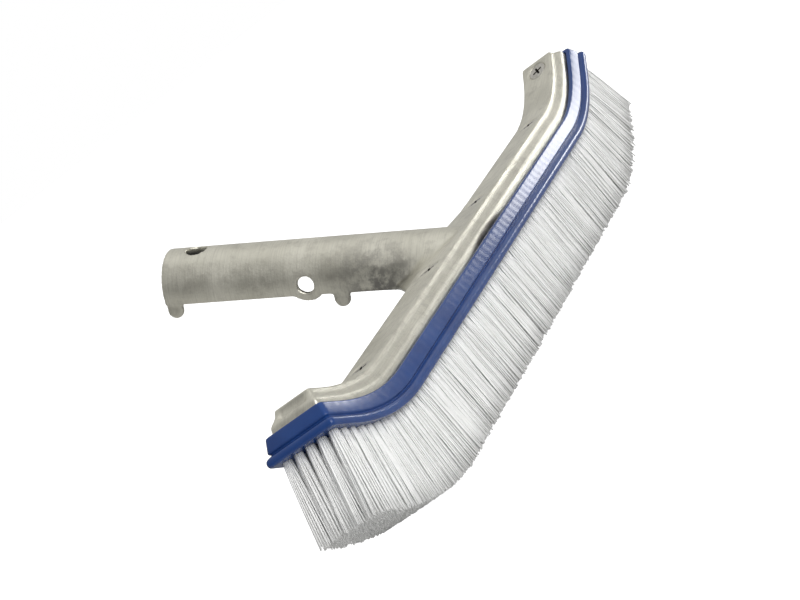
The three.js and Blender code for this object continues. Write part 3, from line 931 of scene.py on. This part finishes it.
def filament_lines(draw):
    """Sideways and upwards places of one tuft's filaments, as arrays of filament and ring."""
    index = np.arange(FILAMENTS) + 0.5
    radius = np.sqrt(index / FILAMENTS)
    angle = index * GOLDEN_ANGLE + draw.uniform(0, 6.28)
    spread = TIP_SPREAD * radius * draw.uniform(*SPREAD_SCATTER, FILAMENTS)
    lean = scatter(draw, *FILAMENT_LEAN) + draw.normal(0, TUFT_LEAN, 2)
    bow = scatter(draw, *FILAMENT_BOW)
    shorter = np.abs(draw.normal(0, LENGTH_SCATTER, FILAMENTS))
    length = BRISTLE_LENGTH - shorter - draw.uniform(*TUFT_TRIM)

    t = np.linspace(0, 1, FILAMENT_RINGS)
    grow = t**0.7  # a tuft opens fastest near its root
    wave = 4 * t * (1 - t)
    root_radius = (TUFT_HOLE_RADIUS - FILAMENT_RADIUS) * radius[:, None]
    fan = root_radius + (spread[:, None] - root_radius) * grow
    outwards = np.column_stack([np.cos(angle), np.sin(angle)])[:, None]
    sideways = fan[..., None] * outwards + lean[:, None] * grow[:, None] + bow[:, None] * wave[:, None]
    upwards = ROOT_DEPTH - t * (length[:, None] + ROOT_DEPTH)
    return sideways, upwards


def filament_tuft(s, y, draw):
    """Points of one tuft's filaments, as an array of filament, ring and corner."""
    sideways, upwards = filament_lines(draw)
    corner = np.arange(FILAMENT_CORNERS) * 2 * math.pi / FILAMENT_CORNERS + 0.4
    skin = FILAMENT_RADIUS * np.column_stack([np.cos(corner), np.sin(corner)])
    local = (sideways + (0.0, y))[:, :, None] + skin
    slope = float(slope_at(s))
    along = np.array([math.cos(slope), 0, math.sin(slope)])
    up = np.array([-math.sin(slope), 0, math.cos(slope)])
    points = bent(s, 0.0, 0.0) + local[..., :1] * along + upwards[..., None, None] * up
    points[..., 1] += local[..., 1]
    return points


def filament_faces(count):
    """Faces of that many filaments, each closed at both ends."""
    sides = FILAMENT_CORNERS
    corner = np.arange(sides)
    rings = np.arange(FILAMENT_RINGS - 1)[:, None] * sides
    a = rings + corner
    b = rings + (corner + 1) % sides
    walls = np.stack([b, a, a + sides, b + sides], axis=-1).reshape(-1, sides)
    tip = (FILAMENT_RINGS - 1) * sides + corner[None, ::-1]
    root = corner[None, :]
    one = np.concatenate([walls, tip, root])
    starts = np.arange(count)[:, None, None] * FILAMENT_RINGS * sides
    return (one[None] + starts).reshape(-1, sides).tolist()


def bristles(material):
    """One piece of filaments for each of the CAD's combs."""
    draw = np.random.default_rng(7)
    places = list(tuft_places())
    tufts = TUFT_COUNT // GROUPS_IN_ROW
    for group in range(ROW_COUNT * GROUPS_IN_ROW):
        row, part = divmod(group, GROUPS_IN_ROW)
        chosen = places[group * tufts : (group + 1) * tufts]
        points = np.concatenate([filament_tuft(s, y, draw).reshape(-1, 3) for s, y in chosen])
        label = f"row_{row + 1}_group_{part + 1}"
        comb = mesh_object(f"filaments_{label}", points, filament_faces(FILAMENTS * tufts))
        smooth(comb)
        place(comb, material, "nylon_bristle", f"bristles_{label}")


# ------------------------------------------------------------------ stage

FLOOR_REACH = 4000.0
FLOOR_DROP = 0.4  # below the tips
FLOOR_GLOW = 0.05  # the light that the floor itself gives, where the camera sees 1


def floor():
    """A pale floor that is plain white to the camera."""
    corners = [(x * FLOOR_REACH, y * FLOOR_REACH, 0) for x, y in SQUARE]
    plane = mesh_object("floor", corners, [[0, 1, 2, 3]])
    plane.location.z = -FLOOR_DROP * MM
    m = Nodes("floor", Roughness=0.9, Base_Color=(0.6, 0.6, 0.59, 1), Emission_Color=(1, 1, 1, 1))
    seen = m.tree.nodes.new("ShaderNodeLightPath").outputs["Is Camera Ray"]
    m.paint(m.range(seen, FLOOR_GLOW, 1.0, (0, 1)), "Emission Strength")
    plane.data.materials.append(m.material)


SKY_FAR_SIDE = 0.72
SKY_CAMERA_SIDE = 0.3
SKY_HORIZON = 0.32  # part of the strength higher up


def sky_strength(tree):
    """The sky's strength in each direction: lower on the +X side and towards the horizon."""
    where = tree.nodes.new("ShaderNodeTexCoord")
    direction = tree.nodes.new("ShaderNodeSeparateXYZ")
    tree.links.new(where.outputs["Generated"], direction.inputs[0])
    side = tree.nodes.new("ShaderNodeMapRange")
    side.inputs["From Min"].default_value = -0.1
    side.inputs["From Max"].default_value = 0.85
    side.inputs["To Min"].default_value = SKY_FAR_SIDE
    side.inputs["To Max"].default_value = SKY_CAMERA_SIDE
    tree.links.new(direction.outputs["X"], side.inputs["Value"])
    height = tree.nodes.new("ShaderNodeMapRange")
    height.inputs["From Max"].default_value = 0.25
    height.inputs["To Min"].default_value = SKY_HORIZON
    tree.links.new(direction.outputs["Z"], height.inputs["Value"])
    strength = tree.nodes.new("ShaderNodeMath")
    strength.operation = "MULTIPLY"
    tree.links.new(side.outputs["Result"], strength.inputs[0])
    tree.links.new(height.outputs["Result"], strength.inputs[1])
    return strength.outputs[0]


def world():
    """White to the camera. The light comes from a pale sky that is darker on the camera's side."""
    sky = bpy.data.worlds.new("studio")
    sky.use_nodes = True
    tree = sky.node_tree
    tree.nodes.clear()
    seen = tree.nodes.new("ShaderNodeBackground")
    seen.inputs["Color"].default_value = (1, 1, 1, 1)
    lit = tree.nodes.new("ShaderNodeBackground")
    tree.links.new(sky_strength(tree), lit.inputs["Strength"])
    path = tree.nodes.new("ShaderNodeLightPath")
    mix = tree.nodes.new("ShaderNodeMixShader")
    tree.links.new(path.outputs["Is Camera Ray"], mix.inputs[0])
    tree.links.new(lit.outputs[0], mix.inputs[1])
    tree.links.new(seen.outputs[0], mix.inputs[2])
    output = tree.nodes.new("ShaderNodeOutputWorld")
    tree.links.new(mix.outputs[0], output.inputs["Surface"])
    bpy.context.scene.world = sky


# The camera looks at this point from the +X end, a little above the tips' plane, rolled.
CAMERA_TARGET = Vector((13.96, -32.48, 47.72))
CAMERA_AZIMUTH = math.radians(25.93)  # from +X towards +Y
CAMERA_ELEVATION = math.radians(8.0)
CAMERA_ROLL = math.radians(39.24)
CAMERA_DISTANCE = 1319.6
CAMERA_LENS = 137.8


def camera_axes():
    """The camera's right, up and back directions."""
    flat = math.cos(CAMERA_ELEVATION)
    rise = math.sin(CAMERA_ELEVATION)
    back = Vector((flat * math.cos(CAMERA_AZIMUTH), flat * math.sin(CAMERA_AZIMUTH), rise))
    level = Vector((0, 0, 1)).cross(back).normalized()
    plumb = back.cross(level)
    right = level * math.cos(CAMERA_ROLL) - plumb * math.sin(CAMERA_ROLL)
    return right, back.cross(right), back


def camera():
    data = bpy.data.cameras.new("camera")
    data.lens = CAMERA_LENS
    data.sensor_width = 36.0
    data.clip_end = 100.0
    view = bpy.data.objects.new("camera", data)
    right, up, back = camera_axes()
    view.matrix_world = Matrix((right, up, back)).transposed().to_4x4()
    view.location = (CAMERA_TARGET + back * CAMERA_DISTANCE) * MM
    bpy.context.scene.collection.objects.link(view)
    bpy.context.scene.camera = view


def softbox(name, where, aim, size, power):
    """An area light that the camera doesn't see."""
    data = bpy.data.lights.new(name, "AREA")
    data.shape = "RECTANGLE"
    data.size, data.size_y = size[0] * MM, size[1] * MM
    data.energy = power
    light = bpy.data.objects.new(name, data)
    towards = Vector(aim) - Vector(where)
    light.rotation_euler = towards.to_track_quat("-Z", "Y").to_euler()
    light.location = Vector(where) * MM
    light.visible_camera = False
    bpy.context.scene.collection.objects.link(light)


def lights():
    softbox("top_softbox", (-300, 300, 1500), (0, 0, 50), (1400, 1400), 1.5)
    softbox("key_softbox", (1100, 1500, 700), (0, 0, 30), (1500, 1500), 26)
    # mirrored by the far half of the block's side face
    softbox("end_reflector", (-500, 157, 62), (-120, 14, 50), (114, 70), 0.21)


# ------------------------------------------------------------------ build

camera()
world()
lights()
floor()
moulded_block(blue_plastic())
cast_back_and_handle(cast_aluminium())
screws(screw_steel(), recess_painted_shade())
bristles(nylon())

bpy.context.scene.view_settings.view_transform = "Standard"
